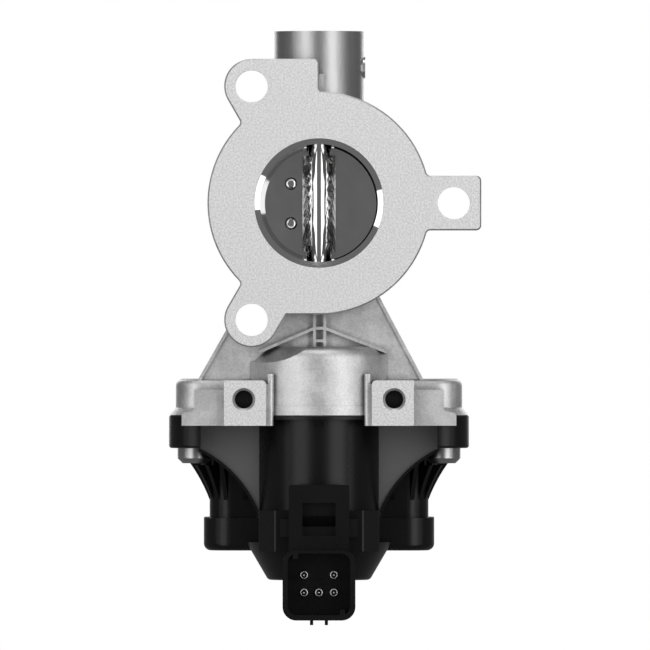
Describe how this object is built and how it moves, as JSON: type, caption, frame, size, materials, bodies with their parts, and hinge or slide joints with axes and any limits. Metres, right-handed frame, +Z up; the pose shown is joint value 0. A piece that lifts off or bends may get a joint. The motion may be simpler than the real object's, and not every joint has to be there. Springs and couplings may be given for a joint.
{
  "type": "egr valve",
  "caption": "Motor-driven exhaust gas flap valve with a three-lug flange, geared actuator and keyed electrical socket.",
  "frame": {"origin": "centre of the gas bore in the plane of the mounting flange's face", "axes": "+Y into the bore from the flange face, +Z up along the flap shaft towards the neck, +X to the right seen from the flange side"},
  "size_m": [0.0869, 0.0879, 0.1651],
  "materials": {
    "cast_aluminium": "as cast, satin",
    "turned_steel": "turned, bright",
    "polished_steel": "polished",
    "flap_steel": "dull grey",
    "weld_steel": "rippled weld",
    "zinc_steel": "zinc plated",
    "sintered_bronze": "sintered",
    "seal_rubber": "matt",
    "spring_steel": "oiled",
    "gear_steel": "machined",
    "gear_plastic": "moulded natural",
    "magnet": "sintered",
    "laminations": "stacked sheet",
    "copper": "drawn",
    "carbon": "pressed carbon",
    "black_plastic": "glass-filled, satin",
    "holder_plastic": "moulded",
    "circuit_board": "solder resist"
  },
  "bodies": {
    "housing": {"valve_body": "cast_aluminium", "neck_side_plug": "zinc_steel", "neck_plug": "zinc_steel", "seat_ring": "polished_steel", "upper_bush": "sintered_bronze", "lower_bush": "sintered_bronze", "shaft_seal": "seal_rubber", "outlet_seal": "seal_rubber", "idler_pin": "turned_steel", "return_spring": "spring_steel", "motor_can": "zinc_steel", "motor_end_plate": "zinc_steel", "motor_bearings": "sintered_bronze", "motor_magnets": "magnet", "brushes": "carbon", "brush_holder": "holder_plastic", "motor_blades": "copper", "wave_washer": "spring_steel", "actuator_housing": "black_plastic", "housing_gasket": "seal_rubber", "bolt_sleeves": "zinc_steel", "housing_bolts": "zinc_steel", "sensor_board": "circuit_board", "bottom_cover": "black_plastic", "cover_seal": "seal_rubber", "terminal_pins": "copper"},
    "rotor": {"motor_shaft": "turned_steel", "motor_pinion": "gear_steel", "armature": "laminations", "commutator": "copper"},
    "idler": {"idler_wheel": "gear_plastic", "idler_pinion": "gear_steel"},
    "flap": {"flap_shaft": "turned_steel", "flap_plate": "flap_steel", "flap_backing": "flap_steel", "flap_rivets": "polished_steel", "shaft_welds": "weld_steel", "sector_gear": "gear_steel", "sector_clip": "spring_steel", "position_magnet": "magnet"}
  },
  "joints": [
    {"name": "motor_turn", "type": "hinge", "parent": "housing", "child": "rotor", "pos_m": [0, 0.022, 0], "axis": [0, 0, -1], "range_deg": [0, 1280]},
    {"name": "idler_turn", "type": "hinge", "parent": "housing", "child": "idler", "pos_m": [0, 0.046, 0], "axis": [0, 0, -1], "range_deg": [-320, 0]},
    {"name": "flap_turn", "type": "hinge", "parent": "housing", "child": "flap", "pos_m": [0, 0.022, 0], "axis": [0, 0, -1], "range_deg": [0, 80], "stiffness_Nm_per_rad": 0.02, "springref_deg": -28.65, "deforming": ["return_spring"]}
  ],
  "couplings": [
    {"joint": "idler_turn", "follows": "motor_turn", "ratio": -0.25},
    {"joint": "flap_turn", "follows": "motor_turn", "ratio": 0.0625}
  ]
}
